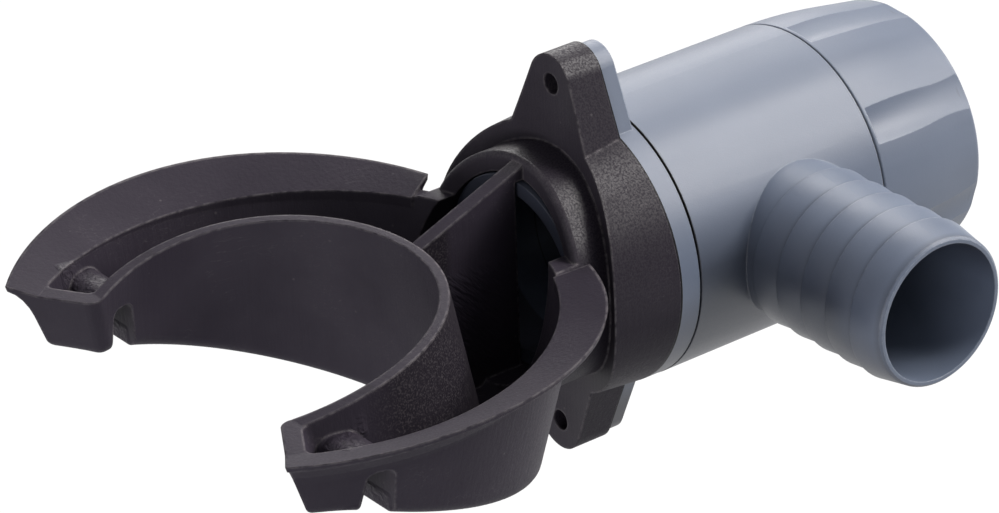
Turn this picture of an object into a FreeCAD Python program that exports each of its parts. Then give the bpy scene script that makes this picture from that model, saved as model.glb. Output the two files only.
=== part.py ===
"""Rainwater diverter for a round downpipe: a soft collector that sits inside the pipe, a mounting ring
that clamps it to the outside, a body with a hose tail and a turning knob that opens and shuts the tail.

Millimetres, +Z up. The origin is on the outer wall of the pipe at the centre of its hole, +X points
away from the pipe along the body, and the hose tail points along -Y.
"""

import FreeCAD
import Part
import os
from math import acos, cos, hypot, radians, sin, tan
from FreeCAD import Vector

# Downpipe and its hole
PIPE_R = 55.0
PIPE_SPAN = 9.1
HUB_R = 25.0
HUB_WALL = 4.15
HUB_RIM_R = 62.0
HUB_RIM_ROUND = 1.2

# Body, whose width the flange, the ring and the knob follow
BODY_R = 30.2
BODY_WALL = 3.2
BODY_END = 62.7
COUNTERBORE_STEP = 1.0
COUNTERBORE_LEN = 6.6

# Flange outline, shared by the collector's flange and the mounting ring
FLANGE_SET_IN = 0.1
FLANGE_T = 8.3
RING_T = 4.7
EAR_HOLE_OUT = 8.5
EAR_HOLE_R = 2.2
EAR_TIP_R = 6.4
EAR_ROOT_HALF = 12.2
EAR_ROOT_IN = 4.1
FLANGE_DRAFT = 0.08
RING_EAR_T = 3.9
RING_EAR_INSET = 0.8

# Collector trough: plan circles of its two walls, and its heights
OUTER_R = 55.5
OUTER_X = -65.9
OUTER_DRAFT = 0.24
OUTER_WALL_T = 3.1
ARM_W = 20.0
WELL_X = -73.4
WELL_DRAFT = 0.07
INNER_WALL_T = 3.0
INNER_WALL_DRAFT = 0.19
DATUM_Z = 8.0
FLOOR_T = 3.0
TIP_UNDER_Z = -5.4
TIP_UNDER_SHARE = 0.414
HUB_UNDER_X = -32.2
UNDER_BEND_R = 25.0
BOTTOM_ROUND = 3.0
CHANNEL_ROUND = 2.0
RIM_HUB = (-30.0, 15.5)
RIM_MIDDLE_AHEAD = 11.7
RIM_MIDDLE_Z = 13.8
RIM_TIP_BACK = 41.6
RIM_TIP_Z = 0.0
CREASE_Z = 9.2
CREASE_SLOPE = 0.03

# Trough ends and the fold groove under each arm
TIP_APEX_X = -72.0
TIP_ANGLE = 121.7
TIP_LEAN = 0.335
TIP_WALL_T = 4.0
GROOVE_X = -82.8
GROOVE_TOP_Z = 3.5
GROOVE_TOP_W = 5.0
GROOVE_FOOT_W = 7.6
GROOVE_ROUND = 1.9
GROOVE_SKIN = 2.3

# Sealing lip along the outer wall
LIP_OVERHANG = 8.2
LIP_NARROWING = 0.0016
LIP_WIDEST = 75.0
LIP_FROM = 26.0
LIP_TO = 132.0
LIP_SECTIONS = 8
LIP_CREST_X = -46.0
LIP_CREST_Z = 14.3
LIP_SAG = 0.0015
LIP_EDGE_T = 1.2
LIP_ROOT_T = 6.0

# Web across the hub
WEB_T = 3.4
WEB_LOW = (-36.0, 13.6)
WEB_HIGH_Z = 24.7
WEB_BACK_X = -11.2

# Mounting ring
SPIGOT_FIT = 0.3
SPIGOT_WALL = 3.15
SPIGOT_REACH = 10.4
SHADOW_GAP = 0.4
LAND_STEP = 1.0
COLLAR_LEN = 3.8
COLLAR_FIT = 0.05

# Hose tail
TAIL_X = 41.65
TAIL_OUT = 39.6
TAIL_R = 16.0
TAIL_WALL = 1.3
BARB_CREST = 1.3
BARB_ROOT = 0.6
BARB_PITCH = 7.3
BARB_COUNT = 5
BARB_STEP = 0.6
LEAD_LEN = 7.7
MOUTH_BREAK = 0.5

# Knob and its shutter sleeve
KNOB_GAP = 0.3
KNOB_LEN = 29.4
KNOB_TAPER = 3.1
KNOB_FRONT_ROUND = 0.4
KNOB_END_ROUND = 1.6
KNOB_SWELL = 0.9
KNOB_SWELL_AT = 9.8
KNOB_SWELL_ROUND = 115.0
KNOB_WALL = 3.2
SLEEVE_FIT = 0.3
SLEEVE_WALL = 3.1
WINDOW_MARGIN = 0.6
FLUTE_COUNT = 7
FLUTE_FRONT_R = 10.0
FLUTE_FRONT_DEPTH = 1.1
FLUTE_SWELL_R = 13.0
FLUTE_SWELL_DEPTH = 1.25
FLUTE_END_R = 22.0
FLUTE_END_DEPTH = 0.7
FLUTE_START = 0.9
FLUTE_FIRST = 35.0

# Turning stop and snap bead at the front of the sleeve
TURN = 90.0
BEAD_FIT = 0.4
BEAD_CLEAR = 0.3
TAB_ANGLE = 20.0
TAB_START = 170.0
STOP_CLEAR = 0.5

# Seal ring between sleeve and body
SEAL_X = 59.3
SEAL_SECTION_R = 0.92
SEAL_SEAT_DEPTH = 1.55
SEAL_GROOVE_W = 2.4
SEAL_FIT = 0.05

# Radii and places that follow from the sizes above
hub_bore_r = HUB_R - HUB_WALL
spigot_r = hub_bore_r - SPIGOT_FIT
spigot_bore_r = spigot_r - SPIGOT_WALL
body_bore_r = BODY_R - BODY_WALL
counterbore_r = body_bore_r + COUNTERBORE_STEP
land_r = counterbore_r + LAND_STEP
flange_r = BODY_R - FLANGE_SET_IN
ear_hole_z = flange_r + EAR_HOLE_OUT
ear_root_z = flange_r - EAR_ROOT_IN
well_r = OUTER_R - ARM_W
lip_r = OUTER_R + LIP_OVERHANG
tip_under_x = TIP_APEX_X - TIP_UNDER_SHARE * well_r
rim_middle = (WELL_X + RIM_MIDDLE_AHEAD, RIM_MIDDLE_Z)
rim_tip = (WELL_X - RIM_TIP_BACK, RIM_TIP_Z)
tail_mouth_y = BODY_R + TAIL_OUT
tail_bore_r = TAIL_R - TAIL_WALL
ring_back = FLANGE_T + RING_T
body_front = ring_back + SHADOW_GAP
shoulder_x = body_front + COUNTERBORE_LEN
knob_front = BODY_END + KNOB_GAP
knob_end = knob_front + KNOB_LEN
knob_end_r = BODY_R - KNOB_TAPER
knob_swell_x = knob_front + KNOB_SWELL_AT
knob_swell_r = BODY_R - KNOB_TAPER * KNOB_SWELL_AT / KNOB_LEN + KNOB_SWELL
sleeve_r = body_bore_r - SLEEVE_FIT
sleeve_bore_r = sleeve_r - SLEEVE_WALL
collar_end = ring_back + COLLAR_LEN
bead_front = collar_end + BEAD_CLEAR
bead_back = shoulder_x - BEAD_CLEAR
ALONG_X = Vector(1, 0, 0)
ALONG_Y = Vector(0, 1, 0)
REACH = 150.0
TROUGH_SPAN = 40.0


def upright(x, r, z0, z1):
    """Cylinder about a vertical axis at (x, 0)."""
    return Part.makeCylinder(r, z1 - z0, Vector(x, 0, z0))


def bar(r, x0, x1):
    """Cylinder about the X axis."""
    return Part.makeCylinder(r, x1 - x0, Vector(x0, 0, 0), ALONG_X)


def tube(r_out, r_in, x0, x1):
    """Tube about the X axis."""
    return bar(r_out, x0, x1).cut(bar(r_in, x0, x1))


def rounded(points, radii):
    """Closed wire through the points, each corner rounded by its radius; a radius of 0 stays sharp."""
    count = len(points)
    corners = []
    for i, point in enumerate(points):
        back = (points[i - 1] - point).normalize()
        ahead = (points[(i + 1) % count] - point).normalize()
        half = back.getAngle(ahead) / 2
        trim = radii[i] / tan(half)
        middle = point + (back + ahead).normalize() * (radii[i] / sin(half) - radii[i])
        corners.append((point + back * trim, middle, point + ahead * trim))
    edges = []
    for i, (first, middle, last) in enumerate(corners):
        if radii[i]:
            edges.append(Part.Arc(first, middle, last).toShape())
        edges.append(Part.makeLine(last, corners[(i + 1) % count][0]))
    return Part.Wire(edges)


def side_prism(pairs, radii, half_width=REACH):
    """Prism across Y from corners given as (x, z)."""
    wire = rounded([Vector(x, -half_width, z) for x, z in pairs], radii)
    return Part.Face(wire).extrude(ALONG_Y * (2 * half_width))


def turned(pairs, radii=None):
    """Solid turned about the X axis from corners given as (x, radius), some of them rounded."""
    wire = rounded([Vector(x, 0, r) for x, r in pairs], radii or [0] * len(pairs))
    return Part.Face(wire).revolve(Vector(0, 0, 0), ALONG_X, 360)


def sector(r_out, r_in, x0, x1, start, sweep):
    """Part of a tube about X; angles run from -Y up towards +Z."""
    face = Part.Face(Part.makePolygon([
        Vector(x0, -r_in, 0),
        Vector(x1, -r_in, 0),
        Vector(x1, -r_out, 0),
        Vector(x0, -r_out, 0),
        Vector(x0, -r_in, 0),
    ]))
    piece = face.revolve(Vector(0, 0, 0), ALONG_X, -sweep)
    piece.rotate(Vector(0, 0, 0), ALONG_X, -start)
    return piece


def flange_outline(x0, x1, draft, ear_end, inset):
    """Round flange, narrowing by draft towards x0, with an ear above and below drilled for the screws."""
    tip_r = EAR_TIP_R - inset
    foot_y = EAR_ROOT_HALF - inset
    reach = hypot(foot_y, ear_hole_z - ear_root_z)
    turn = acos(tip_r / reach) - acos(foot_y / reach)
    touch_y = tip_r * cos(turn)
    touch_z = ear_hole_z + tip_r * sin(turn)
    corners = [(foot_y, ear_root_z), (touch_y, touch_z), (-touch_y, touch_z), (-foot_y, ear_root_z)]
    outline = Part.makePolygon([Vector(x0, y, z) for y, z in corners + corners[:1]])
    ear = Part.Face(outline).extrude(ALONG_X * (ear_end - x0))
    ear = ear.fuse(Part.makeCylinder(tip_r, ear_end - x0, Vector(x0, 0, ear_hole_z), ALONG_X))
    ear = ear.cut(Part.makeCylinder(EAR_HOLE_R, ear_end - x0, Vector(x0, 0, ear_hole_z), ALONG_X))
    if draft:
        front_r = flange_r - draft * (x1 - x0)
        plate = Part.makeCone(front_r, flange_r, x1 - x0, Vector(x0, 0, 0), ALONG_X)
    else:
        plate = bar(flange_r, x0, x1)
    for angle in (0, 180):
        lobe = ear.copy()
        lobe.rotate(Vector(0, 0, 0), ALONG_X, angle)
        plate = plate.fuse(lobe)
    return plate.removeSplitter()


def crease(x):
    """Height of the line where the outer wall meets the lip."""
    return CREASE_Z + CREASE_SLOPE * (x - OUTER_X)


def outer_cone(inset):
    """Flaring outer wall of the trough as a solid, taken in by inset."""
    low = -TROUGH_SPAN
    high = TROUGH_SPAN
    r_low = OUTER_R + OUTER_DRAFT * (low - DATUM_Z) - inset
    r_high = OUTER_R + OUTER_DRAFT * (high - DATUM_Z) - inset
    return Part.makeCone(r_low, r_high, high - low, Vector(OUTER_X, 0, low))


def well_cone(r, draft, z0, z1):
    """Cone about the well's axis between two heights, of radius r at the datum and widening downwards."""
    return Part.makeCone(r + draft * (DATUM_Z - z0), r + draft * (DATUM_Z - z1), z1 - z0, Vector(WELL_X, 0, z0))


def beyond_tips(inset):
    """Space past the two leaning ends of the trough, moved inwards by inset."""
    apex = TIP_APEX_X + inset / sin(radians(TIP_ANGLE))
    wires = []
    for z in (-TROUGH_SPAN, TROUGH_SPAN):
        shift = TIP_LEAN * (DATUM_Z - z)
        x_out = apex + shift + REACH * cos(radians(TIP_ANGLE))
        y_out = REACH * sin(radians(TIP_ANGLE))
        corners = [
            Vector(apex + shift, 0, z),
            Vector(x_out, y_out, z),
            Vector(x_out - REACH, y_out, z),
            Vector(x_out - REACH, -y_out, z),
            Vector(x_out, -y_out, z),
            Vector(apex + shift, 0, z),
        ]
        wires.append(Part.makePolygon(corners))
    return Part.makeLoft(wires, True, True)


def under_trough(lift):
    """Space under the trough: level at the tips, falling to the hub and level again, raised by lift."""
    pairs = [
        (-REACH, TIP_UNDER_Z + lift),
        (tip_under_x, TIP_UNDER_Z + lift),
        (HUB_UNDER_X, lift - HUB_R),
        (REACH, lift - HUB_R),
        (REACH, -REACH),
        (-REACH, -REACH),
    ]
    return side_prism(pairs, [0, UNDER_BEND_R, UNDER_BEND_R, 0, 0, 0])


def round_bottom(shape, radius, post_r):
    """Rounds a trough body's lower loops, and its corner posts that stand within post_r of the well's axis."""
    curved = []
    for edge in shape.Edges:
        foot = edge.Vertexes[0].Point
        low = edge.BoundBox.ZMax < DATUM_Z
        post = edge.BoundBox.ZMin < DATUM_Z and hypot(foot.x - WELL_X, foot.y) < post_r
        if (low or post) and edge.Curve.TypeId != "Part::GeomLine":
            curved.append(edge)
    return shape.makeFillet(radius, curved)


def fold_arch(grow):
    """Arch-shaped bar across both arms: the fold groove, or the hump over it when grown by its skin."""
    half_top = GROOVE_TOP_W / 2 + grow
    half_foot = GROOVE_FOOT_W / 2 + grow
    foot_z = 2 * TIP_UNDER_Z
    pairs = [
        (GROOVE_X - half_foot, foot_z),
        (GROOVE_X + half_foot, foot_z),
        (GROOVE_X + half_top, GROOVE_TOP_Z + grow),
        (GROOVE_X - half_top, GROOVE_TOP_Z + grow),
    ]
    return side_prism(pairs, [0, 0, GROOVE_ROUND + grow, GROOVE_ROUND + grow])


def lip_section(angle):
    """Outline of the lip in the upright plane at this angle about the outer wall's centre."""
    across = Vector(cos(radians(angle)), sin(radians(angle)), 0)
    root_r = OUTER_R - OUTER_WALL_T
    root_z = crease(OUTER_X + root_r * across.x)
    edge_r = lip_r - LIP_NARROWING * (angle - LIP_WIDEST) ** 2
    edge_z = LIP_CREST_Z - LIP_SAG * (OUTER_X + edge_r * across.x - LIP_CREST_X) ** 2
    under = Vector(edge_r - LIP_EDGE_T / 4, 0, edge_z - LIP_EDGE_T)
    foot = Vector(OUTER_R - OUTER_DRAFT * LIP_ROOT_T, 0, root_z - LIP_ROOT_T)
    bend = Vector(OUTER_R, 0, under.z - (under.x - OUTER_R) * (edge_z - root_z) / (edge_r - root_r))
    pairs = [(root_r, root_z), (edge_r, edge_z)]
    for t in (0, 0.25, 0.5, 0.75, 1):
        point = under * (1 - t) ** 2 + bend * (2 * t * (1 - t)) + foot * t ** 2
        pairs.append((point.x, point.z))
    pairs.append((root_r, root_z - LIP_ROOT_T))
    points = [Vector(OUTER_X, 0, z) + across * r for r, z in pairs]
    return Part.makePolygon(points + points[:1])


def make_collector():
    """Soft collector: C-shaped trough with lip, web, hub and saddle flange in one moulding."""
    well = well_cone(well_r, WELL_DRAFT, -TROUGH_SPAN, TROUGH_SPAN)
    wall_r = well_r + INNER_WALL_T
    over_crease = side_prism(
        [(-REACH, crease(-REACH)), (REACH, crease(REACH)), (REACH, REACH), (-REACH, REACH)],
        [0, 0, 0, 0],
    )
    block = outer_cone(0).cut(under_trough(0)).cut(well).cut(beyond_tips(0))
    block = round_bottom(block, BOTTOM_ROUND, wall_r)

    inside = outer_cone(OUTER_WALL_T)
    wall_back = well_cone(wall_r, INNER_WALL_DRAFT, -TROUGH_SPAN, TROUGH_SPAN)
    channel = inside.cut(under_trough(FLOOR_T)).cut(wall_back).cut(beyond_tips(TIP_WALL_T))
    channel = round_bottom(channel, CHANNEL_ROUND, REACH)
    trough = block.cut(over_crease).cut(channel.cut(fold_arch(GROOVE_SKIN)))

    rim_edge = Part.Arc(*[Vector(x, -REACH, z) for x, z in (RIM_HUB, rim_middle, rim_tip)]).toShape()
    rim_sides = Part.makePolygon([
        Vector(rim_tip[0], -REACH, rim_tip[1]),
        Vector(rim_tip[0], -REACH, REACH),
        Vector(RIM_HUB[0], -REACH, REACH),
        Vector(RIM_HUB[0], -REACH, RIM_HUB[1]),
    ])
    over_rim = Part.Face(Part.Wire([rim_edge] + rim_sides.Edges)).extrude(ALONG_Y * (2 * REACH))
    inner_wall = well_cone(wall_r, INNER_WALL_DRAFT, TIP_UNDER_Z + FLOOR_T, TROUGH_SPAN)
    trough = trough.fuse(inner_wall.common(block).cut(over_rim))

    step = (LIP_TO - LIP_FROM) / (LIP_SECTIONS - 1)
    lip = Part.makeLoft([lip_section(LIP_FROM + step * i) for i in range(LIP_SECTIONS)], True, False)
    lips = lip.fuse(lip.mirror(Vector(0, 0, 0), ALONG_Y)).cut(beyond_tips(0))
    trough = trough.fuse(lips).cut(fold_arch(0))

    hub = bar(HUB_R, HUB_UNDER_X, FLANGE_T)
    rim_axis = -PIPE_SPAN - HUB_RIM_R
    hub = hub.cut(upright(rim_axis, HUB_RIM_R, crease(-PIPE_SPAN), REACH))
    rim_edges = []
    for edge in hub.Edges:
        box = edge.BoundBox
        if box.ZMin > 0 and min(box.YLength, box.ZLength) > HUB_R / 2:
            rim_edges.append(edge)
    hub = hub.makeFillet(HUB_RIM_ROUND, rim_edges).cut(inside)
    web_foot_z = FLOOR_T / 2 - HUB_R
    web_pairs = [
        (WEB_LOW[0], web_foot_z),
        (WEB_BACK_X, web_foot_z),
        (WEB_BACK_X, hub_bore_r),
        (WEB_T / 2 - PIPE_SPAN, hub_bore_r),
        (WEB_T / 2 - PIPE_SPAN, WEB_HIGH_Z),
        WEB_LOW,
    ]
    web = side_prism(web_pairs, [0] * len(web_pairs), WEB_T / 2)
    flange = flange_outline(-flange_r, FLANGE_T, FLANGE_DRAFT, FLANGE_T, 0)
    flange = flange.cut(upright(-PIPE_R, PIPE_R, -REACH, REACH))
    collector = trough.fuse(hub).fuse(flange)
    collector = collector.cut(bar(hub_bore_r, HUB_UNDER_X, FLANGE_T))
    return collector.fuse(web).removeSplitter()


def make_mounting_ring():
    """Mounting ring: eared plate, spigot into the hub, and a stepped collar with a stop tab into the body."""
    ring = flange_outline(FLANGE_T, ring_back, 0, FLANGE_T + RING_EAR_T, RING_EAR_INSET)
    ring = ring.fuse(bar(spigot_r, -SPIGOT_REACH, ring_back))
    ring = ring.fuse(bar(land_r, ring_back, body_front))
    ring = ring.fuse(bar(counterbore_r - COLLAR_FIT, body_front, collar_end))
    ring = ring.cut(bar(spigot_bore_r, -SPIGOT_REACH, collar_end))
    tab = sector(counterbore_r - BEAD_CLEAR, body_bore_r, collar_end, bead_back, TAB_START, TAB_ANGLE)
    return ring.fuse(tab).removeSplitter()


def make_body():
    """Body: tube with a barbed hose tail on one side."""
    profile = [(0, 0), (tail_mouth_y, 0), (tail_mouth_y, TAIL_R - MOUTH_BREAK)]
    profile.append((tail_mouth_y - MOUTH_BREAK, TAIL_R))
    for i in range(BARB_COUNT):
        crest = tail_mouth_y - LEAD_LEN - BARB_PITCH * i
        profile.append((crest, TAIL_R + BARB_CREST))
        profile.append((crest - BARB_STEP, TAIL_R + BARB_ROOT))
    profile.append((0, TAIL_R + BARB_ROOT))
    tail = turned(profile)
    port = bar(tail_bore_r, 0, tail_mouth_y)
    for shape in (tail, port):
        shape.rotate(Vector(0, 0, 0), Vector(0, 0, 1), -90)
        shape.translate(Vector(TAIL_X, 0, 0))
    body = bar(BODY_R, body_front, BODY_END).fuse(tail)
    body = body.cut(bar(body_bore_r, body_front, BODY_END)).cut(port)
    return body.cut(bar(counterbore_r, body_front, shoulder_x)).removeSplitter()


def make_knob():
    """Knob and shutter sleeve in one moulding: fluted cap, window to the hose tail, snap bead with a gap."""
    cap = turned(
        [
            (knob_front, 0),
            (knob_front, BODY_R),
            (knob_swell_x, knob_swell_r),
            (knob_end, knob_end_r),
            (knob_end, 0),
        ],
        [0, KNOB_FRONT_ROUND, KNOB_SWELL_ROUND, KNOB_END_ROUND, 0],
    )
    stations = [
        (knob_front, BODY_R, FLUTE_FRONT_DEPTH, FLUTE_FRONT_R),
        (knob_swell_x, knob_swell_r, FLUTE_SWELL_DEPTH, FLUTE_SWELL_R),
        (knob_end, knob_end_r, FLUTE_END_DEPTH, FLUTE_END_R),
    ]
    rings = []
    for x, outer_r, depth, flute_r in stations:
        middle = Vector(x, depth - outer_r - flute_r, 0)
        rings.append(Part.Wire(Part.makeCircle(flute_r, middle, ALONG_X)))
    flute = Part.makeLoft(rings, True, False).cut(bar(REACH, 0, knob_front + FLUTE_START))
    for i in range(FLUTE_COUNT):
        groove = flute.copy()
        groove.rotate(Vector(0, 0, 0), ALONG_X, -(FLUTE_FIRST + 360.0 * i / FLUTE_COUNT))
        cap = cap.cut(groove)
    knob = cap.fuse(bar(sleeve_r, bead_front, knob_front))
    knob = knob.cut(bar(sleeve_bore_r, bead_front, knob_end - KNOB_WALL))
    window = Part.makeCylinder(tail_bore_r + WINDOW_MARGIN, BODY_R, Vector(TAIL_X, 0, 0), Vector(0, -1, 0))
    seat = tube(body_bore_r, sleeve_r - SEAL_SEAT_DEPTH, SEAL_X - SEAL_GROOVE_W / 2, SEAL_X + SEAL_GROOVE_W / 2)
    knob = knob.cut(window).cut(seat)
    gap = TURN + TAB_ANGLE + 2 * STOP_CLEAR
    bead_start = TAB_START + gap - STOP_CLEAR
    bead = sector(counterbore_r - BEAD_FIT, sleeve_bore_r, bead_front, bead_back, bead_start, 360 - gap)
    return knob.fuse(bead).removeSplitter()


def make_knob_seal():
    """Seal ring in the sleeve's seat, just clear of the body's bore."""
    middle_r = body_bore_r - SEAL_FIT - SEAL_SECTION_R
    return Part.makeTorus(middle_r, SEAL_SECTION_R, Vector(SEAL_X, 0, 0), ALONG_X)


os.makedirs("parts", exist_ok=True)
make_collector().exportStep("parts/collector.step")
make_mounting_ring().exportStep("parts/mounting_ring.step")
make_body().exportStep("parts/body.step")
make_knob().exportStep("parts/knob.step")
make_knob_seal().exportStep("parts/knob_seal.step")
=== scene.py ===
"""Looks of a rainwater diverter for a round downpipe: black rubber collector, grey mounting ring, grey body
with a barbed hose tail and a fluted grey knob, in a plain pale studio. Metres, +Z up, in the part's own frame.
"""

import bpy
import numpy as np
from mathutils import Matrix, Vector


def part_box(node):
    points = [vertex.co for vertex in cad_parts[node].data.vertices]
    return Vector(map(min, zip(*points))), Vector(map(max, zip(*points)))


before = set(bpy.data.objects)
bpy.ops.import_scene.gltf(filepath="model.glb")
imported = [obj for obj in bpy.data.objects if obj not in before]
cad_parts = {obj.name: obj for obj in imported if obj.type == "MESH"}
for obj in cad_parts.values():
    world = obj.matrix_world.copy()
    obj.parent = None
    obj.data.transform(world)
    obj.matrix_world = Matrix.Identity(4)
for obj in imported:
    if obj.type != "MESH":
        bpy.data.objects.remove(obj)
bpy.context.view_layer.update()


# Collector: the C-shaped trough with its lip, web, hub and saddle flange, one soft black rubber moulding.
# It is clamped between the pipe and the mounting ring by two screws through its ears. Its skin is matte and
# pitted, gritty in the channel, and polished on the upper side of hub and flange. Its faces turned to -X and -Y
# are painted paler as painted light, the channel side of its inner wall is painted darker as painted shade, its
# edges are paler partly from wear and partly as a painted highlight, and a painted shade line marks its seam.


def add(tree, kind, **values):
    """Node of this kind in the tree; in_ names a socket to set or link, other names are the node's properties."""
    node = tree.nodes.new(kind)
    for key, value in values.items():
        if not key.startswith("in_"):
            setattr(node, key, value)
            continue
        name = key[3:].replace("_", " ")
        socket = node.inputs[int(name)] if name.isdigit() else node.inputs[name]
        if isinstance(value, bpy.types.NodeSocket):
            tree.links.new(value, socket)
        else:
            socket.default_value = value
    return node


def place_on(tree):
    """Object coordinates, as one vector."""
    return add(tree, "ShaderNodeTexCoord").outputs["Object"]


def facing_of(tree):
    """Direction that the surface faces."""
    return add(tree, "ShaderNodeNewGeometry").outputs["Normal"]


def axes_of(tree, vector):
    """The three coordinates of a vector."""
    return add(tree, "ShaderNodeSeparateXYZ", in_Vector=vector).outputs


def maths(tree, operation, first, second=0.0, third=0.0):
    """Output of a Math node; each operand is a socket or a plain number."""
    node = add(tree, "ShaderNodeMath", operation=operation, in_0=first, in_1=second, in_2=third)
    return node.outputs[0]


def times(tree, first, second):
    """Product of two values, such as two masks, or a mask and its strength."""
    return maths(tree, "MULTIPLY", first, second)


def vectors(tree, operation, first, second=(0.0, 0.0, 0.0)):
    """Vector output of a Vector Math node; each operand is a socket or a plain vector."""
    return add(tree, "ShaderNodeVectorMath", operation=operation, in_0=first, in_1=second).outputs["Vector"]


def dot(tree, first, second):
    """Dot product of two vectors."""
    node = add(tree, "ShaderNodeVectorMath", operation="DOT_PRODUCT", in_0=first, in_1=second)
    return node.outputs["Value"]


def length(tree, vector):
    """Length of a vector."""
    return add(tree, "ShaderNodeVectorMath", operation="LENGTH", in_0=vector).outputs["Value"]


def ramp(tree, value, low, high, to_low=0.0, to_high=1.0):
    """Output of a clamped Map Range node; a named span holds these four numbers, or the first two, in this order."""
    node = add(tree, "ShaderNodeMapRange", in_Value=value, in_From_Min=low, in_From_Max=high,
               in_To_Min=to_low, in_To_Max=to_high)
    return node.outputs[0]


def tint(tree, factor, first, second):
    """Colour output of a Mix node; its factor and both colours are sockets or plain values."""
    node = add(tree, "ShaderNodeMix", data_type="RGBA", in_0=factor, in_6=first, in_7=second)
    return node.outputs[2]


def noise(tree, place, scale, detail, distortion=0.0):
    """Value of a Noise texture, about 0.5 on average."""
    node = add(tree, "ShaderNodeTexNoise", in_Vector=place, in_Scale=scale, in_Detail=detail, in_Distortion=distortion)
    return node.outputs["Fac"]


def stretched_noise(tree, stretch, turn=(0.0, 0.0, 0.0)):
    """Noise on Object coordinates that are turned and then scaled by their own factor along each axis."""
    turned = add(tree, "ShaderNodeVectorRotate", rotation_type="EULER_XYZ", in_Vector=place_on(tree), in_Rotation=turn)
    return noise(tree, vectors(tree, "MULTIPLY", turned.outputs[0], stretch), scale=1.0, detail=2.0)


def within(tree, low, high, fade, mirrored=False):
    """Mask that is 1 inside a box of Object coordinates and falls to 0 over the fade distance around it.

    A mirrored box is given in positive numbers and counts on every side of the origin.
    """
    place = place_on(tree)
    if mirrored:
        place = vectors(tree, "ABSOLUTE", place)
    mask = 1.0
    for axis, least, most in zip(axes_of(tree, place), low, high):
        half = (most - least) / 2
        off = maths(tree, "ABSOLUTE", maths(tree, "SUBTRACT", axis, least + half))
        mask = times(tree, mask, ramp(tree, off, half + fade, half))
    return mask


def new_group(name, inputs, outputs):
    """Empty shader node group with named value inputs and named outputs; gives the group and its two ends."""
    group = bpy.data.node_groups.new(name, "ShaderNodeTree")
    for label, value in inputs:
        socket = group.interface.new_socket(name=label, in_out="INPUT", socket_type="NodeSocketFloat")
        socket.default_value = value
    for label, kind in outputs:
        group.interface.new_socket(name=label, in_out="OUTPUT", socket_type=kind)
    return group, group.nodes.new("NodeGroupInput").outputs, group.nodes.new("NodeGroupOutput").inputs


def new_material(name):
    """Empty material with its node tree and its Principled BSDF."""
    material = bpy.data.materials.new(name)
    material.use_nodes = True
    return material, material.node_tree, material.node_tree.nodes["Principled BSDF"]


def dress(node_name, material):
    """Give a CAD node this material and no other."""
    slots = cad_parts[node_name].data.materials
    slots.clear()
    slots.append(material)


# Moulded grain, shared by every plastic: fine pitting, a slow mottling and small scattered specks.
SPECK_CORE, SPECK_RIM = 0.10, 0.24

grain, given, result = new_group(
    "moulded_grain",
    [("Fine Scale", 2600.0), ("Mottle Scale", 90.0), ("Speck Scale", 420.0), ("Speck Share", 0.1)],
    [("Fine", "NodeSocketFloat"), ("Mottle", "NodeSocketFloat"), ("Specks", "NodeSocketFloat")],
)
place = place_on(grain)
cells = add(grain, "ShaderNodeTexVoronoi", in_Vector=place, in_Scale=given["Speck Scale"]).outputs
draw = add(grain, "ShaderNodeSeparateColor", in_Color=cells["Color"]).outputs[0]
chosen = maths(grain, "LESS_THAN", draw, given["Speck Share"])
speck = ramp(grain, cells["Distance"], SPECK_CORE, SPECK_RIM, 1.0, 0.0)
grain.links.new(noise(grain, place, given["Fine Scale"], detail=3.0), result["Fine"])
grain.links.new(noise(grain, place, given["Mottle Scale"], detail=4.0), result["Mottle"])
grain.links.new(times(grain, chosen, speck), result["Specks"])

# Edge wear and painted edge highlight, shared by every plastic: a softened normal, and a broken mask along the
# edges it turns most, which paints them paler, partly as wear and partly as a painted highlight.
# The mask goes by the cosine between the softened and the flat normal.
WEAR_HIGHLIGHT_STARTS, WEAR_HIGHLIGHT_FULL = 0.998, 0.94
BREAK_SPAN = (0.36, 0.60, 0.15, 1.0)

wear_and_highlight, given, result = new_group(
    "edge_wear_and_highlight",
    [("Radius", 0.0005), ("Break Scale", 700.0)],
    [("Wear Highlight", "NodeSocketFloat"), ("Soft Normal", "NodeSocketVector")],
)
soft = add(wear_and_highlight, "ShaderNodeBevel", samples=4, in_Radius=given["Radius"]).outputs[0]
edge = ramp(wear_and_highlight, dot(wear_and_highlight, soft, facing_of(wear_and_highlight)), WEAR_HIGHLIGHT_STARTS, WEAR_HIGHLIGHT_FULL)
ragged = ramp(wear_and_highlight, noise(wear_and_highlight, place_on(wear_and_highlight), given["Break Scale"], detail=3.0), *BREAK_SPAN)
wear_and_highlight.links.new(times(wear_and_highlight, edge, ragged), result["Wear Highlight"])
wear_and_highlight.links.new(soft, result["Soft Normal"])

# Seam shade, shared by the pieces that meet in a seam: a mask close to a plane across the waterway's axis, where
# the gap between two pieces is painted dark as painted shade.
seam_shade, given, result = new_group(
    "seam_shade", [("Joint", 0.0083), ("Reach", 0.0003)], [("Shade", "NodeSocketFloat")])
off = maths(seam_shade, "SUBTRACT", axes_of(seam_shade, place_on(seam_shade))[0], given["Joint"])
in_gap = maths(seam_shade, "LESS_THAN", maths(seam_shade, "ABSOLUTE", off), given["Reach"])
seam_shade.links.new(in_gap, result["Shade"])

RUBBER_DARK = (0.0305, 0.0252, 0.0365, 1.0)
RUBBER_PALE = (0.0372, 0.0312, 0.0437, 1.0)
RUBBER_BLOOM = (0.115, 0.103, 0.111, 1.0)
RUBBER_WEAR_HIGHLIGHT = (0.185, 0.170, 0.180, 1.0)
RUBBER_LIT_SIDE = (0.074, 0.066, 0.081, 1.0)
RUBBER_HANDLED_AND_SHADE = (0.0145, 0.0120, 0.0170, 1.0)
SEAM_SHADE_COLOUR = (0.004, 0.004, 0.006, 1.0)
COAT_COLOUR = (1.0, 0.97, 0.95, 1.0)

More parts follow.
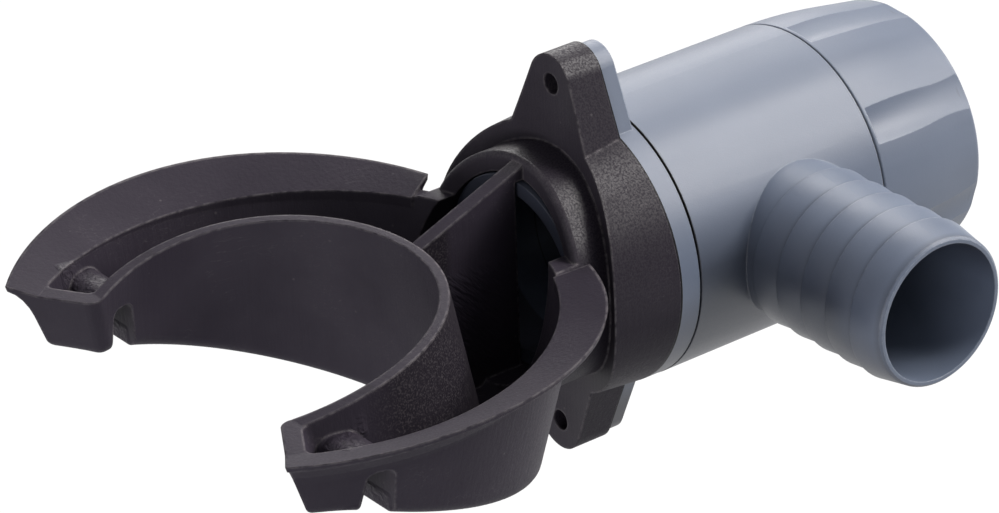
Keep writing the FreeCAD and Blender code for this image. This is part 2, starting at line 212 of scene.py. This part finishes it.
RUBBER_MOTTLE = (0.35, 0.70)
RUBBER_ROUGH = (0.3, 0.7, 0.48, 0.62)
RUBBER_GLOSS = 0.10
COAT_ROUGH = 0.34
SPECK_SHARE = 0.5

RUBBER_EDGE_R = 0.0008
RUBBER_WEAR_HIGHLIGHT_SHARE = 0.85
FLANGE_BACK_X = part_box("collector")[1].x
FLANGE_SEAM = 0.0003

# Hub and flange, from this place along the waterway on, are dark and polished by handling.
HANDLED_X = (-0.016, -0.010)
HANDLED_SHARE = 0.6
POLISH_SPAN = (0.40, 0.60, 0.08, 0.54)
POLISH_UPWARD = (-0.15, 0.45)

# The channel's side of the inner wall, close to the well's axis, facing away from it and near the hub, is painted
# darker as painted shade and carries pale grit.
WELL_AXIS = (-0.0734, 0.0, 0.0)
GRIT_R = (0.0460, 0.0440)
GRIT_X = (-0.078, -0.068)
GRIT_SHADE_SHARE = 0.9
GRAIN_SPAN = (0.50, 0.64, 0.0, 0.34)

# Painted light: what faces this way is painted paler, as if lit from there, more where the mottling is high.
LIT_SIDE_TOWARD = (-0.93, -0.37, 0.0)
LIT_SIDE_FACING = (0.35, 1.0)
LIT_SIDE_SPAN = (0.3, 0.6, 0.40, 0.62)

# Scuffs are the thin lines where a drawn-out noise crosses its middle value.
SCUFF_STRETCH = (60.0, 900.0, 900.0)
SCUFF_TURN = (0.3, 0.0, 0.5)
SCUFF_WIDTH = (0.003, 0.010, 1.0, 0.0)
SCUFF_PATCHES = (0.52, 0.64)
SCUFF_SHARE = 0.35
NOISE_MIDDLE = 0.5

# Tool marks hatch the web, wrinkles cover the two fold humps, and a fine ripple runs up every wall.
HATCH_STRETCH = (260.0, 100.0, 1500.0)
HATCH_TURN = (0.0, -0.82, 0.0)
HATCH_LOW = (-0.031, -0.0022, -0.016)
HATCH_HIGH = (-0.017, -0.0012, 0.003)
HATCH_FADE = 0.004
HUMP_LOW = (0.0775, 0.0390, 0.0045)
HUMP_HIGH = (0.0880, 0.0485, 0.0100)
HUMP_FADE = 0.001
WRINKLE_SCALE = 480.0
WRINKLE_TWIST = 1.2
RIPPLE_STRETCH = (1100.0, 1100.0, 60.0)
RUBBER_RELIEF = 0.00018
RUBBER_BUMP = 0.8
PITS_PLAIN, PITS_HANDLED = 0.20, 0.50
RIPPLE_HEIGHT, HATCH_HEIGHT, WRINKLE_HEIGHT = 0.45, 3.0, 4.5

rubber, tree, shader = new_material("collector_rubber")
place = place_on(tree)
facing = facing_of(tree)
along = axes_of(tree, place)[0]
skin = add(tree, "ShaderNodeGroup", node_tree=grain, in_Fine_Scale=2500.0, in_Mottle_Scale=70.0,
           in_Speck_Scale=650.0, in_Speck_Share=0.012).outputs
edges = add(tree, "ShaderNodeGroup", node_tree=wear_and_highlight, in_Radius=RUBBER_EDGE_R, in_Break_Scale=600.0).outputs
seam = add(tree, "ShaderNodeGroup", node_tree=seam_shade, in_Joint=FLANGE_BACK_X, in_Reach=FLANGE_SEAM).outputs["Shade"]

handled = ramp(tree, along, *HANDLED_X)
hump = within(tree, HUMP_LOW, HUMP_HIGH, HUMP_FADE, mirrored=True)
about_well = vectors(tree, "MULTIPLY", vectors(tree, "SUBTRACT", place, WELL_AXIS), (1.0, 1.0, 0.0))
outward = maths(tree, "GREATER_THAN", dot(tree, about_well, facing), 0.0)
channel_shade_and_grit = times(tree, outward, ramp(tree, length(tree, about_well), *GRIT_R))
channel_shade_and_grit = times(tree, channel_shade_and_grit, ramp(tree, along, *GRIT_X))
# Painted light: faces turned to -X and -Y are painted paler.
lit_side = times(tree, ramp(tree, dot(tree, facing, LIT_SIDE_TOWARD), *LIT_SIDE_FACING),
              ramp(tree, skin["Mottle"], *LIT_SIDE_SPAN))
from_middle = maths(tree, "SUBTRACT", stretched_noise(tree, SCUFF_STRETCH, SCUFF_TURN), NOISE_MIDDLE)
scuff_line = maths(tree, "ABSOLUTE", from_middle)
scuffs = times(tree, ramp(tree, scuff_line, *SCUFF_WIDTH), ramp(tree, skin["Mottle"], *SCUFF_PATCHES))

colour = tint(tree, ramp(tree, skin["Mottle"], *RUBBER_MOTTLE), RUBBER_DARK, RUBBER_PALE)
# Darker where handled, and painted shade on the channel side of the inner wall.
darkened = maths(tree, "MAXIMUM", times(tree, handled, HANDLED_SHARE), times(tree, channel_shade_and_grit, GRIT_SHADE_SHARE))
colour = tint(tree, darkened, colour, RUBBER_HANDLED_AND_SHADE)
# Painted light on the faces turned to -X and -Y.
colour = tint(tree, lit_side, colour, RUBBER_LIT_SIDE)
colour = tint(tree, times(tree, skin["Specks"], SPECK_SHARE), colour, RUBBER_BLOOM)
colour = tint(tree, times(tree, channel_shade_and_grit, ramp(tree, skin["Fine"], *GRAIN_SPAN)), colour, RUBBER_BLOOM)
colour = tint(tree, times(tree, scuffs, SCUFF_SHARE), colour, RUBBER_BLOOM)
# Edges painted paler, partly as wear and partly as a painted highlight.
colour = tint(tree, times(tree, edges["Wear Highlight"], RUBBER_WEAR_HIGHLIGHT_SHARE), colour, RUBBER_WEAR_HIGHLIGHT)
# Painted shade: a dark line at the seam with the ring.
colour = tint(tree, seam, colour, SEAM_SHADE_COLOUR)
tree.links.new(colour, shader.inputs["Base Color"])
tree.links.new(ramp(tree, skin["Fine"], *RUBBER_ROUGH), shader.inputs["Roughness"])

polish = times(tree, maths(tree, "MAXIMUM", handled, hump), ramp(tree, skin["Fine"], *POLISH_SPAN))
polish = times(tree, polish, ramp(tree, axes_of(tree, facing)[2], *POLISH_UPWARD))
tree.links.new(polish, shader.inputs["Coat Weight"])

hatch = times(tree, stretched_noise(tree, HATCH_STRETCH, HATCH_TURN), within(tree, HATCH_LOW, HATCH_HIGH, HATCH_FADE))
wrinkle = times(tree, noise(tree, place, WRINKLE_SCALE, detail=2.0, distortion=WRINKLE_TWIST), hump)
relief = times(tree, skin["Fine"], ramp(tree, handled, 0.0, 1.0, PITS_PLAIN, PITS_HANDLED))
relief = maths(tree, "MULTIPLY_ADD", stretched_noise(tree, RIPPLE_STRETCH), RIPPLE_HEIGHT, relief)
relief = maths(tree, "MULTIPLY_ADD", hatch, HATCH_HEIGHT, relief)
relief = maths(tree, "MULTIPLY_ADD", wrinkle, WRINKLE_HEIGHT, relief)
bump = add(tree, "ShaderNodeBump", in_Strength=RUBBER_BUMP, in_Distance=RUBBER_RELIEF, in_Height=relief,
           in_Normal=edges["Soft Normal"])
tree.links.new(bump.outputs[0], shader.inputs["Normal"])
shader.inputs["Specular IOR Level"].default_value = RUBBER_GLOSS
shader.inputs["Coat Roughness"].default_value = COAT_ROUGH
shader.inputs["Coat Tint"].default_value = COAT_COLOUR
dress("collector", rubber)


# Mounting ring: the eared ring behind the flange, injection-moulded in grey plastic, its spigot pressed into
# the rubber hub. The two ear screws pull it against the flange. Satin, with edges paler partly from wear and
# partly as a painted highlight, and painted shade: dark lines at its seams, and a dark spigot, inside, underside
# and lower ear.

# Painted shade, shared by the grey pieces: a patchy mask of what lies within a radius of the waterway and before
# its end, painted dark inside as painted shade, together with an even one on what faces down, painted darker as
# painted shade on the underside.
PATCH_SPAN = (0.3, 0.6, 0.8, 1.0)
UNDERSIDE_FACING = (-0.05, -0.75)

inner_and_under_shade, given, result = new_group(
    "painted_inner_and_under_shade",
    [("Radius", 0.02), ("End", 0.09), ("Fade", 0.0005), ("Patch Scale", 220.0), ("Underside", 0.0)],
    [("Painted Shade", "NodeSocketFloat")],
)
place = place_on(inner_and_under_shade)
depth = maths(inner_and_under_shade, "SUBTRACT", given["Radius"], length(inner_and_under_shade, vectors(inner_and_under_shade, "MULTIPLY", place, (0.0, 1.0, 1.0))))
inside = ramp(inner_and_under_shade, maths(inner_and_under_shade, "DIVIDE", depth, given["Fade"]), 0.0, 1.0)
before_end = maths(inner_and_under_shade, "LESS_THAN", axes_of(inner_and_under_shade, place)[0], given["End"])
patches = ramp(inner_and_under_shade, noise(inner_and_under_shade, place, given["Patch Scale"], detail=3.0), *PATCH_SPAN)
below = ramp(inner_and_under_shade, axes_of(inner_and_under_shade, facing_of(inner_and_under_shade))[2], *UNDERSIDE_FACING)
painted_shade = times(inner_and_under_shade, inside, times(inner_and_under_shade, patches, before_end))
inner_and_under_shade.links.new(maths(inner_and_under_shade, "MAXIMUM", painted_shade, times(inner_and_under_shade, below, given["Underside"])), result["Painted Shade"])

# Flow streaks, shared by the grey pieces: noise drawn out along the way that the mould filled.
flow, given, result = new_group(
    "flow_streaks", [("Along Scale", 8.0), ("Across Scale", 110.0)], [("Streaks", "NodeSocketFloat")])
stretch = add(flow, "ShaderNodeCombineXYZ", in_X=given["Along Scale"], in_Y=given["Across Scale"],
              in_Z=given["Across Scale"]).outputs[0]
streak = noise(flow, vectors(flow, "MULTIPLY", place_on(flow), stretch), scale=1.0, detail=4.0)
flow.links.new(streak, result["Streaks"])

GREY_DARK = (0.120, 0.148, 0.206, 1.0)
GREY_PALE = (0.144, 0.175, 0.238, 1.0)
GREY_WEAR_HIGHLIGHT = (0.33, 0.37, 0.44, 1.0)
PAINTED_SHADE_COLOUR = (0.016, 0.014, 0.022, 1.0)
GREY_EDGE_R = 0.0004
GREY_WEAR_HIGHLIGHT_SHARE = 0.8
GREY_RELIEF = 0.00006
GREY_BUMP = 0.3
GREY_GLOSS = 0.68
WATERWAY_END = 0.0905
PAINTED_SHADE_SHARE = 0.92
STREAK_SHARE, MOTTLE_SHARE = 0.6, 0.4
TONE_SPAN = (0.32, 0.68)
SATIN_SPAN = (0.3, 0.7, 0.36, 0.44)
SATIN_GRAIN = (0.3, 0.7, 0.0, 0.08)


def grey_plastic(name, along_scale, across_scale, shade_radius, underside, seams=()):
    """Satin blue-grey plastic with flow streaks that run the way its mould filled, painted dark inside a radius as
    painted shade.

    Each seam is a place along the waterway and how far its painted shade line reaches.
    Gives the material, its tree, its shader, its colour and its bumped normal, for a piece to add its own marks.
    """
    material, tree, shader = new_material(name)
    skin = add(tree, "ShaderNodeGroup", node_tree=grain, in_Fine_Scale=3300.0, in_Mottle_Scale=55.0).outputs
    edges = add(tree, "ShaderNodeGroup", node_tree=wear_and_highlight, in_Radius=GREY_EDGE_R, in_Break_Scale=900.0).outputs
    streaks = add(tree, "ShaderNodeGroup", node_tree=flow, in_Along_Scale=along_scale,
                  in_Across_Scale=across_scale).outputs["Streaks"]
    painted_shade = add(tree, "ShaderNodeGroup", node_tree=inner_and_under_shade, in_Radius=shade_radius, in_End=WATERWAY_END,
              in_Underside=underside).outputs["Painted Shade"]
    tone = maths(tree, "MULTIPLY_ADD", streaks, STREAK_SHARE, times(tree, skin["Mottle"], MOTTLE_SHARE))
    colour = tint(tree, ramp(tree, tone, *TONE_SPAN), GREY_DARK, GREY_PALE)
    # Edges painted paler, partly as wear and partly as a painted highlight.
    colour = tint(tree, times(tree, edges["Wear Highlight"], GREY_WEAR_HIGHLIGHT_SHARE), colour, GREY_WEAR_HIGHLIGHT)
    # Painted shade inside the waterway and on the underside.
    colour = tint(tree, times(tree, painted_shade, PAINTED_SHADE_SHARE), colour, PAINTED_SHADE_COLOUR)
    # Painted shade: a dark line at each seam.
    for joint, reach in seams:
        seam = add(tree, "ShaderNodeGroup", node_tree=seam_shade, in_Joint=joint, in_Reach=reach).outputs["Shade"]
        colour = tint(tree, seam, colour, SEAM_SHADE_COLOUR)
    rough = maths(tree, "ADD", ramp(tree, skin["Fine"], *SATIN_GRAIN), ramp(tree, streaks, *SATIN_SPAN))
    bump = add(tree, "ShaderNodeBump", in_Strength=GREY_BUMP, in_Distance=GREY_RELIEF, in_Height=skin["Fine"],
               in_Normal=edges["Soft Normal"])
    tree.links.new(colour, shader.inputs["Base Color"])
    tree.links.new(rough, shader.inputs["Roughness"])
    tree.links.new(bump.outputs[0], shader.inputs["Normal"])
    shader.inputs["Specular IOR Level"].default_value = GREY_GLOSS
    return material, tree, shader, colour, bump.outputs[0]


BODY_FRONT_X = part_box("body")[0].x
BODY_GAP = 0.0004
RING_BACK_X = BODY_FRONT_X - BODY_GAP
RING_SEAM = 0.00012
RING_SHADE_R = 0.0177
SPIGOT_X = (0.0, -0.0005)
SPIGOT_SHADE = 0.72
LOWER_EAR_SHADE_Z = (-0.031, -0.036)
LOWER_EAR_SHADE = 0.8

plastic, tree, shader, colour, _ = grey_plastic(
    "ring_plastic", along_scale=90.0, across_scale=25.0, shade_radius=RING_SHADE_R, underside=0.95,
    seams=((FLANGE_BACK_X, RING_SEAM), (RING_BACK_X, RING_SEAM)))
along, _, height = axes_of(tree, place_on(tree))
# Painted shade: the lower ear and the spigot are painted dark.
lower_ear_shade = ramp(tree, height, *LOWER_EAR_SHADE_Z, 0.0, LOWER_EAR_SHADE)
spigot_shade = ramp(tree, along, *SPIGOT_X, 0.0, SPIGOT_SHADE)
colour = tint(tree, maths(tree, "MAXIMUM", lower_ear_shade, spigot_shade), colour, PAINTED_SHADE_COLOUR)
tree.links.new(colour, shader.inputs["Base Color"])
dress("mounting_ring", plastic)


# Body: the tube with the barbed hose tail, moulded in the same grey plastic, pushed over the ring's collar.
# Its flow streaks run along the tube; the barbs are slightly barrelled. Painted shade darkens the back of each
# barb behind its crest, the bore and the underside, and a painted shadow darkens the nook beside the tail.
BODY_BACK_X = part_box("body")[1].x
FRONT_SEAM, BACK_SEAM = 0.00015, 0.00010
BODY_SHADE_R = 0.0271
TAIL_FOOT = (0.04165, 0.0, 0.0)
TAIL_SKIN_R = 0.0157
TAIL_MOUTH = -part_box("body")[0].y
CREST_TO_MOUTH = 0.0369
FIRST_CREST = TAIL_MOUTH - CREST_TO_MOUTH
BARB_PITCH = 0.0073
CREST_MARGIN = 0.05
BARB_BULGE = 0.00022
ROOT_SHADE_COLOUR = (0.030, 0.037, 0.055, 1.0)
ROOT_STEP = (0.78, 0.97)
ROOT_SHADE_SHARE = 0.4
NOOK_LOW = (0.012, -0.056, -0.018)
NOOK_HIGH = (0.032, -0.022, 0.003)
NOOK_FADE = 0.012
NOOK_SHADOW_SHARE = 0.88

plastic, tree, shader, colour, surface = grey_plastic(
    "body_plastic", along_scale=8.0, across_scale=110.0, shade_radius=BODY_SHADE_R, underside=0.85,
    seams=((BODY_FRONT_X, FRONT_SEAM), (BODY_BACK_X, BACK_SEAM)))
place = place_on(tree)
from_axis = vectors(tree, "MULTIPLY", vectors(tree, "SUBTRACT", place, TAIL_FOOT), (1.0, 0.0, 1.0))
outside = maths(tree, "GREATER_THAN", length(tree, from_axis), TAIL_SKIN_R)
reach = times(tree, axes_of(tree, place)[1], -1.0)
barbs = maths(tree, "DIVIDE", maths(tree, "SUBTRACT", reach, FIRST_CREST), BARB_PITCH)
on_tail = times(tree, maths(tree, "GREATER_THAN", barbs, -CREST_MARGIN), outside)
# The barrel of one barb is the parabola step - step * step, which rises to a quarter at its middle.
step = maths(tree, "FRACT", barbs)
bulge = times(tree, maths(tree, "SUBTRACT", step, times(tree, step, step)), on_tail)
# Painted shade behind each barb's crest.
root_shade = times(tree, ramp(tree, step, *ROOT_STEP), on_tail)
# Painted shadow in the nook beside the tail, where the tail shades the tube.
nook_shadow = within(tree, NOOK_LOW, NOOK_HIGH, NOOK_FADE)
colour = tint(tree, times(tree, root_shade, ROOT_SHADE_SHARE), colour, ROOT_SHADE_COLOUR)
colour = tint(tree, times(tree, nook_shadow, NOOK_SHADOW_SHARE), colour, ROOT_SHADE_COLOUR)
tree.links.new(colour, shader.inputs["Base Color"])
barrel = add(tree, "ShaderNodeBump", in_Distance=BARB_BULGE * 4, in_Height=bulge, in_Normal=surface)
tree.links.new(barrel.outputs[0], shader.inputs["Normal"])
dress("body", plastic)


# Knob: the fluted grip with its shutter sleeve, the same grey plastic, snapped into the body and free to turn.
# Its flow streaks run along the flutes, and the inside of the sleeve is painted dark as painted shade.
KNOB_SHADE_R = 0.0269

plastic, *_ = grey_plastic(
    "knob_plastic", along_scale=14.0, across_scale=140.0, shade_radius=KNOB_SHADE_R, underside=0.0)
dress("knob", plastic)


# Knob seal: a small black rubber ring that keeps water from creeping out between sleeve and body.
# It sits in the sleeve's seat and is hidden once the knob is in.
SEAL_ROUGH = (0.3, 0.7, 0.30, 0.45)

seal, tree, shader = new_material("seal_rubber")
skin = add(tree, "ShaderNodeGroup", node_tree=grain, in_Fine_Scale=4200.0, in_Mottle_Scale=300.0).outputs
tree.links.new(tint(tree, skin["Mottle"], RUBBER_DARK, RUBBER_PALE), shader.inputs["Base Color"])
tree.links.new(ramp(tree, skin["Fine"], *SEAL_ROUGH), shader.inputs["Roughness"])
dress("knob_seal", seal)


# Studio: a pale floor well below the part, which the camera and reflections see as white with a faint shadow,
# while to other rays it is dim. Two soft boxes light the front, one the right and two the back; a low card on
# the left and a weak even fill lift the shade.
FLOOR_Z = -0.30
FLOOR_HALF = 6.0
FLOOR_WHITE = (1.0, 1.0, 1.0, 1.0)
FLOOR_PALE = (0.9, 0.9, 0.9, 1.0)
FLOOR_DIM = (0.16, 0.17, 0.19, 1.0)
FLOOR_SHADOW = 0.12

floor_mesh = bpy.data.meshes.new("floor")
floor_corners = np.array([[-1, -1, 0], [1, -1, 0], [1, 1, 0], [-1, 1, 0]]) * FLOOR_HALF + (0, 0, FLOOR_Z)
floor_mesh.from_pydata(floor_corners.tolist(), [], [(0, 1, 2, 3)])
floor = bpy.data.objects.new("floor", floor_mesh)
bpy.context.scene.collection.objects.link(floor)
floor_look, tree, _ = new_material("pale_floor")
tree.nodes.clear()
rays = add(tree, "ShaderNodeLightPath").outputs
reflected = maths(tree, "MAXIMUM", rays["Is Glossy Ray"], rays["Is Transmission Ray"])
seen = maths(tree, "MAXIMUM", rays["Is Camera Ray"], reflected)
white = add(tree, "ShaderNodeEmission", in_Color=FLOOR_WHITE, in_Strength=1.0)
pale = add(tree, "ShaderNodeBsdfDiffuse", in_Color=FLOOR_PALE)
dim = add(tree, "ShaderNodeBsdfDiffuse", in_Color=FLOOR_DIM)
lit = add(tree, "ShaderNodeMixShader", in_0=FLOOR_SHADOW, in_1=white.outputs[0], in_2=pale.outputs[0])
both = add(tree, "ShaderNodeMixShader", in_0=seen, in_1=dim.outputs[0], in_2=lit.outputs[0])
add(tree, "ShaderNodeOutputMaterial", in_Surface=both.outputs[0])
floor_mesh.materials.append(floor_look)

LIGHT_AIM = np.array((0.02, -0.01, 0.0))
LIGHT_DISTANCE = 1.6
FRONT_LIGHT = (1.0, 0.97, 0.95)
BACK_LIGHT = (1.0, 0.98, 0.97)
CARD_LIGHT = (1.0, 0.97, 1.0)
FILL_LIGHT = (0.96, 0.96, 1.0, 1.0)
FILL_STRENGTH = 0.34


def softbox(name, azimuth, elevation, wide, high, power, colour):
    """Area light facing the part from an azimuth, counted from +X towards +Y, and an elevation in degrees."""
    lamp = bpy.data.lights.new(name, "AREA")
    lamp.shape = "RECTANGLE"
    lamp.size = wide
    lamp.size_y = high
    lamp.energy = power
    lamp.color = colour
    turned, raised = np.radians((azimuth, elevation))
    away = np.array((np.cos(turned) * np.cos(raised), np.sin(turned) * np.cos(raised), np.sin(raised)))
    side = np.array((-np.sin(turned), np.cos(turned), 0.0))
    over = np.cross(away, side)
    turn = Matrix(np.column_stack((side, over, away)).tolist()).to_4x4()
    lamp_object = bpy.data.objects.new(name, lamp)
    lamp_object.matrix_world = Matrix.Translation(LIGHT_AIM + away * LIGHT_DISTANCE) @ turn
    lamp_object.visible_camera = False
    bpy.context.scene.collection.objects.link(lamp_object)


softbox("high_front_softbox", azimuth=337.0, elevation=55.0, wide=0.70, high=0.55, power=14.0, colour=FRONT_LIGHT)
softbox("low_front_softbox", azimuth=319.0, elevation=33.0, wide=0.50, high=0.50, power=13.0, colour=FRONT_LIGHT)
softbox("right_softbox", azimuth=357.0, elevation=18.0, wide=0.60, high=0.60, power=6.0, colour=FRONT_LIGHT)
softbox("low_back_softbox", azimuth=57.0, elevation=18.0, wide=0.60, high=0.50, power=5.0, colour=BACK_LIGHT)
softbox("high_back_softbox", azimuth=48.0, elevation=47.0, wide=0.80, high=0.60, power=8.5, colour=BACK_LIGHT)
softbox("left_card", azimuth=203.0, elevation=-4.0, wide=1.30, high=0.30, power=7.0, colour=CARD_LIGHT)

world = bpy.data.worlds.new("studio_fill")
world.use_nodes = True
world.node_tree.nodes["Background"].inputs["Color"].default_value = FILL_LIGHT
world.node_tree.nodes["Background"].inputs["Strength"].default_value = FILL_STRENGTH
bpy.context.scene.world = world
bpy.context.scene.view_settings.view_transform = "Standard"

# Camera at the photograph's angle, fitted to the round edges of the body, tail and flange.
CAMERA_AZIMUTH, CAMERA_ELEVATION, CAMERA_ROLL = np.radians((-37.202, 27.731, -2.005))
CAMERA_DISTANCE = 1.105148
CAMERA_TARGET = np.array((0.0383, 0.069453, -0.041207))
SENSOR_WIDTH = 36.0
FOCAL_PIXELS = 5000.0
IMAGE_WIDTH = 999.0

level = np.array((np.cos(CAMERA_AZIMUTH), np.sin(CAMERA_AZIMUTH), 0.0))
away = np.array((
    np.sin(CAMERA_AZIMUTH) * np.cos(CAMERA_ELEVATION),
    -np.cos(CAMERA_AZIMUTH) * np.cos(CAMERA_ELEVATION),
    np.sin(CAMERA_ELEVATION),
))
upright = np.cross(away, level)
side = np.cos(CAMERA_ROLL) * level + np.sin(CAMERA_ROLL) * upright
over = -np.sin(CAMERA_ROLL) * level + np.cos(CAMERA_ROLL) * upright
camera = bpy.data.cameras.new("camera")
camera.sensor_width = SENSOR_WIDTH
camera.lens = SENSOR_WIDTH * FOCAL_PIXELS / IMAGE_WIDTH
camera.dof.use_dof = False
camera_object = bpy.data.objects.new("camera", camera)
camera_object.matrix_world = (
    Matrix.Translation(CAMERA_TARGET + away * CAMERA_DISTANCE)
    @ Matrix(np.column_stack((side, over, away)).tolist()).to_4x4()
)
bpy.context.scene.collection.objects.link(camera_object)
bpy.context.scene.camera = camera_object
